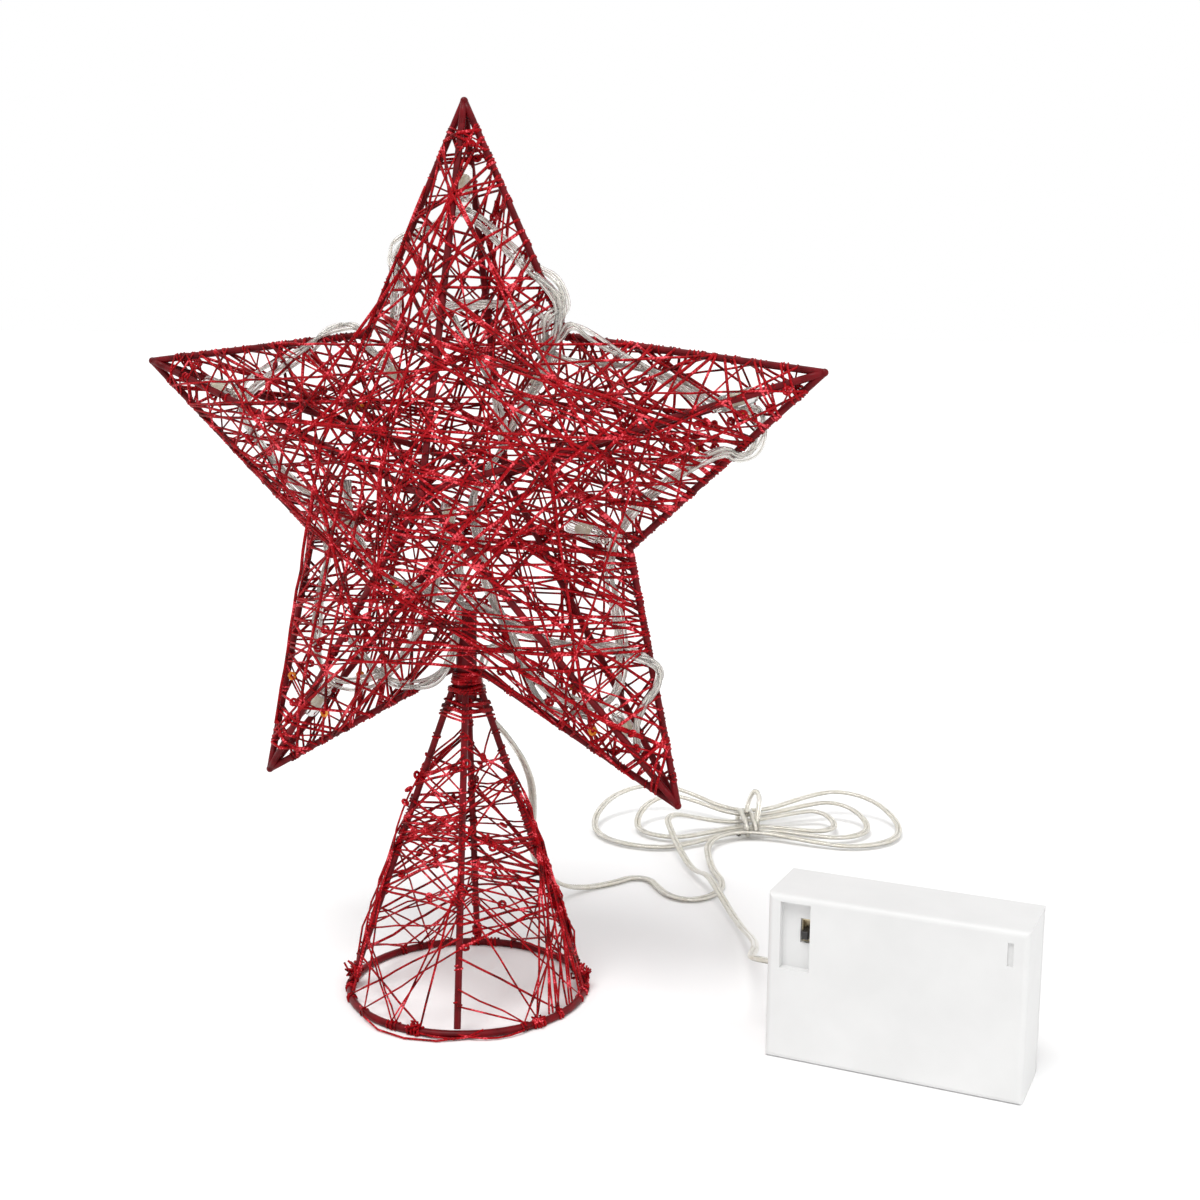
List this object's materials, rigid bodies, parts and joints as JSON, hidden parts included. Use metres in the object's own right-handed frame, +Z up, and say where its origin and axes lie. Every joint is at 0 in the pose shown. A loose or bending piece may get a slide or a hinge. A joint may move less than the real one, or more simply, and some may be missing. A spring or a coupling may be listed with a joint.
{
  "type": "christmas tree topper star",
  "caption": "Faceted wire star with thread webs and a clear light string, on a wire cone that fits over a tree tip, with a hanked lead to a battery box.",
  "frame": {"origin": "centre of the wire ring under the cone, on the surface that it stands on", "axes": "+Z up along the cone and the star, -Y out of the front of the star, +X towards the battery box"},
  "size_m": [0.2666, 0.2464, 0.2565],
  "materials": {
    "frame_wire": "glossy dark red lacquer",
    "tinsel_thread": "glossy metallic red thread",
    "harness_cord": "clear sleeve over thin wires",
    "lamp_caps": "clear moulded cap",
    "lead_cord": "clear twin-core sleeve",
    "case_plastic": "satin white",
    "grommet": "soft white",
    "switch_frame": "stamped",
    "switch_knob": "matt black",
    "cell_can": "plain sleeve",
    "contact_metal": "bright"
  },
  "bodies": {
    "topper": {"base_ring": "frame_wire", "battery_case": "case_plastic", "battery_cells": "cell_can", "cable_grommet": "grommet", "cone_leg_1": "frame_wire", "cone_leg_2": "frame_wire", "cone_leg_3": "frame_wire", "cone_leg_4": "frame_wire", "cone_web_1": "tinsel_thread", "cone_web_2": "tinsel_thread", "cone_web_3": "tinsel_thread", "cone_web_4": "tinsel_thread", "contact_plates": "contact_metal", "contact_springs": "contact_metal", "front_rib_1": "frame_wire", "front_rib_2": "frame_wire", "front_rib_3": "frame_wire", "front_rib_4": "frame_wire", "front_rib_5": "frame_wire", "front_web_1": "tinsel_thread", "front_web_2": "tinsel_thread", "front_web_3": "tinsel_thread", "front_web_4": "tinsel_thread", "front_web_5": "tinsel_thread", "hank_tie": "lead_cord", "lead_hank": "lead_cord", "lead_to_box": "lead_cord", "lead_to_hank": "lead_cord", "led_harness": "harness_cord", "led_lamps": "lamp_caps", "neck_binding": "tinsel_thread", "neck_post": "frame_wire", "notch_welds": "frame_wire", "outline_left_1": "frame_wire", "outline_left_2": "frame_wire", "outline_left_3": "frame_wire", "outline_left_4": "frame_wire", "outline_left_5": "frame_wire", "outline_right_1": "frame_wire", "outline_right_2": "frame_wire", "outline_right_3": "frame_wire", "outline_right_4": "frame_wire", "outline_right_5": "frame_wire", "rear_rib_1": "frame_wire", "rear_rib_2": "frame_wire", "rear_rib_3": "frame_wire", "rear_rib_4": "frame_wire", "rear_rib_5": "frame_wire", "rear_web_1": "tinsel_thread", "rear_web_2": "tinsel_thread", "rear_web_3": "tinsel_thread", "rear_web_4": "tinsel_thread", "rear_web_5": "tinsel_thread", "rib_hubs": "frame_wire", "switch_body": "switch_frame", "tip_welds": "frame_wire"},
    "knob": {"switch_knob": "switch_knob"},
    "cover": {"battery_cover": "case_plastic"}
  },
  "joints": [
    {"name": "knob_slide", "type": "slide", "parent": "topper", "child": "knob", "axis": [0, 0, 1], "range_m": [0, 0.002]},
    {"name": "cover_slide", "type": "slide", "parent": "topper", "child": "cover", "axis": [0.9945, -0.1045, 0], "range_m": [0, 0.06]}
  ]
}
